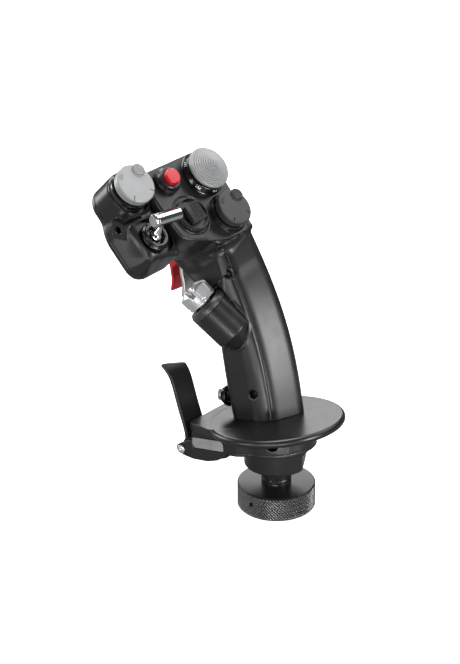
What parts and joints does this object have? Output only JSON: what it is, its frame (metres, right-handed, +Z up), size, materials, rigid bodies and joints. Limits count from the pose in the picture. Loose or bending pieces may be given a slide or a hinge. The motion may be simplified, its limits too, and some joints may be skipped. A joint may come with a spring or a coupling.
{
  "type": "flight joystick",
  "caption": "Right-hand flight joystick grip with a wide thumb-control head, triggers, a side lever, a round hand rest and a knurled lock ring.",
  "frame": {"origin": "centre of the lock ring's lower face, at the mouth of its thread", "axes": "+Z up the neck tube, +Y forward away from the pilot, +X to the pilot's right"},
  "size_m": [0.1036, 0.1336, 0.2152],
  "materials": {
    "black_shell": "satin textured moulding",
    "black_coat": "satin powder coat",
    "black_ring": "gloss",
    "black_internal": "matt",
    "dark_cap": "satin",
    "grey_ring": "anodised satin",
    "silver_cap": "bead-blasted anodised",
    "silver_metal": "brushed",
    "polished": "polished",
    "steel_part": "machined",
    "contact_brass": "plated",
    "label_grey": "satin",
    "red_part": "semi-gloss",
    "board_green": "lacquered",
    "loom_black": "sleeved"
  },
  "bodies": {
    "grip": {"neck_tube": "black_coat", "connector_insert": "black_internal", "connector_pins": "contact_brass", "clamp_collar": "black_coat", "base_housing": "black_coat", "hand_rest": "black_coat", "lever_bracket": "black_coat", "name_plate": "label_grey", "lever_pin": "steel_part", "lever_spring": "steel_part", "lever_switch": "black_internal", "column_left_shell": "black_shell", "column_right_shell": "black_shell", "grip_screws": "steel_part", "circuit_board": "board_green", "wire_loom": "loom_black", "side_button_bezel": "black_ring", "side_button_switch": "black_internal", "hat_barrel": "black_shell", "barrel_ring": "grey_ring", "barrel_hat_switch": "black_internal", "trigger_frame": "black_coat", "trigger_pin": "steel_part", "trigger_switch": "black_internal", "head_rear_shell": "black_shell", "head_front_shell": "black_shell", "pod_rear_shell": "black_shell", "pod_front_shell": "black_shell", "trim_ring": "black_ring", "trim_switch": "black_internal", "dark_hat_ring": "black_ring", "dark_hat_switch": "black_internal", "castle_ring": "black_ring", "castle_switch": "black_internal", "thumb_slide_ring": "black_shell", "thumb_slide_switch": "black_internal", "tee_socket": "black_shell", "tee_switch": "black_internal", "red_button_bezel": "black_shell", "red_button_switch": "black_internal"},
    "ring_washer": {"ring_washer": "steel_part"},
    "lock_ring": {"lock_ring": "black_coat"},
    "grip_lever": {"grip_lever": "black_coat"},
    "side_button": {"side_button": "silver_metal"},
    "barrel_hat_pivot": {"barrel_hat_pivot": "steel_part"},
    "barrel_hat": {"barrel_hat": "silver_metal"},
    "main_trigger": {"main_trigger": "silver_metal"},
    "second_trigger": {"second_trigger": "red_part"},
    "trim_pivot": {"trim_pivot": "steel_part"},
    "trim_hat": {"trim_hat": "silver_cap"},
    "dark_hat_pivot": {"dark_hat_pivot": "steel_part"},
    "dark_hat": {"dark_hat": "dark_cap"},
    "castle_pivot": {"castle_pivot": "steel_part"},
    "castle_hat": {"castle_hat": "silver_cap"},
    "tee_pivot": {"tee_pivot": "steel_part"},
    "tee_lever": {"tee_lever": "polished"},
    "thumb_slide": {"thumb_slide": "dark_cap"},
    "red_button": {"red_button": "red_part"}
  },
  "joints": [
    {"name": "ring_lift", "type": "slide", "parent": "grip", "child": "ring_washer", "axis": [0, 0, 1], "range_m": [0, 0.011]},
    {"name": "ring_spin", "type": "hinge", "parent": "ring_washer", "child": "lock_ring", "pos_m": [0, 0, 0], "axis": [0, 0, 1], "continuous": true},
    {"name": "lever_squeeze", "type": "hinge", "parent": "grip", "child": "grip_lever", "pos_m": [-0.02007, 0.05181, 0.03326], "axis": [0.9991, 0, -0.0419], "range_deg": [0, 5]},
    {"name": "side_button_press", "type": "slide", "parent": "grip", "child": "side_button", "axis": [0.006, -0.9898, 0.1425], "range_m": [0, 0.0015]},
    {"name": "main_trigger_pull", "type": "hinge", "parent": "grip", "child": "main_trigger", "pos_m": [0.00497, 0.066, 0.15323], "axis": [-0.9991, 0, 0.0419], "range_deg": [0, 8]},
    {"name": "second_trigger_pull", "type": "hinge", "parent": "grip", "child": "second_trigger", "pos_m": [0.00497, 0.066, 0.15323], "axis": [-0.9991, 0, 0.0419], "range_deg": [0, 5]},
    {"name": "barrel_hat_up_down", "type": "hinge", "parent": "grip", "child": "barrel_hat_pivot", "pos_m": [-0.01297, 0.03996, 0.12569], "axis": [0.8347, 0.5391, -0.1127], "range_deg": [-5, 5]},
    {"name": "barrel_hat_left_right", "type": "hinge", "parent": "barrel_hat_pivot", "child": "barrel_hat", "pos_m": [-0.01297, 0.03996, 0.12569], "axis": [-0.4473, 0.5442, -0.7097], "range_deg": [-5, 5]},
    {"name": "trim_hat_up_down", "type": "hinge", "parent": "grip", "child": "trim_pivot", "pos_m": [0.00824, 0.06092, 0.19701], "axis": [0.993, -0.0753, 0.0907], "range_deg": [-5, 5]},
    {"name": "trim_hat_left_right", "type": "hinge", "parent": "trim_pivot", "child": "trim_hat", "pos_m": [0.00824, 0.06092, 0.19701], "axis": [-0.0192, 0.6557, 0.7548], "range_deg": [-5, 5]},
    {"name": "dark_hat_up_down", "type": "hinge", "parent": "grip", "child": "dark_hat_pivot", "pos_m": [0.00778, 0.04263, 0.17579], "axis": [0.993, -0.0753, 0.0907], "range_deg": [-5, 5]},
    {"name": "dark_hat_left_right", "type": "hinge", "parent": "dark_hat_pivot", "child": "dark_hat", "pos_m": [0.00778, 0.04263, 0.17579], "axis": [-0.0192, 0.6557, 0.7548], "range_deg": [-5, 5]},
    {"name": "castle_hat_up_down", "type": "hinge", "parent": "grip", "child": "castle_pivot", "pos_m": [-0.04415, 0.07466, 0.1966], "axis": [0.993, -0.0753, 0.0907], "range_deg": [-5, 5]},
    {"name": "castle_hat_left_right", "type": "hinge", "parent": "castle_pivot", "child": "castle_hat", "pos_m": [-0.04415, 0.07466, 0.1966], "axis": [-0.0192, 0.6557, 0.7548], "range_deg": [-5, 5]},
    {"name": "tee_lever_up_down", "type": "hinge", "parent": "grip", "child": "tee_pivot", "pos_m": [-0.04507, 0.0551, 0.17382], "axis": [0.993, -0.0753, 0.0907], "range_deg": [-9, 9]},
    {"name": "tee_lever_left_right", "type": "hinge", "parent": "tee_pivot", "child": "tee_lever", "pos_m": [-0.04507, 0.0551, 0.17382], "axis": [-0.0192, 0.6557, 0.7548], "range_deg": [-9, 9]},
    {"name": "thumb_slide_move", "type": "slide", "parent": "grip", "child": "thumb_slide", "axis": [0.993, -0.0753, 0.0907], "range_m": [-0.0025, 0.0025]},
    {"name": "red_button_press", "type": "slide", "parent": "grip", "child": "red_button", "axis": [0.1164, 0.7513, -0.6497], "range_m": [0, 0.0018]}
  ]
}
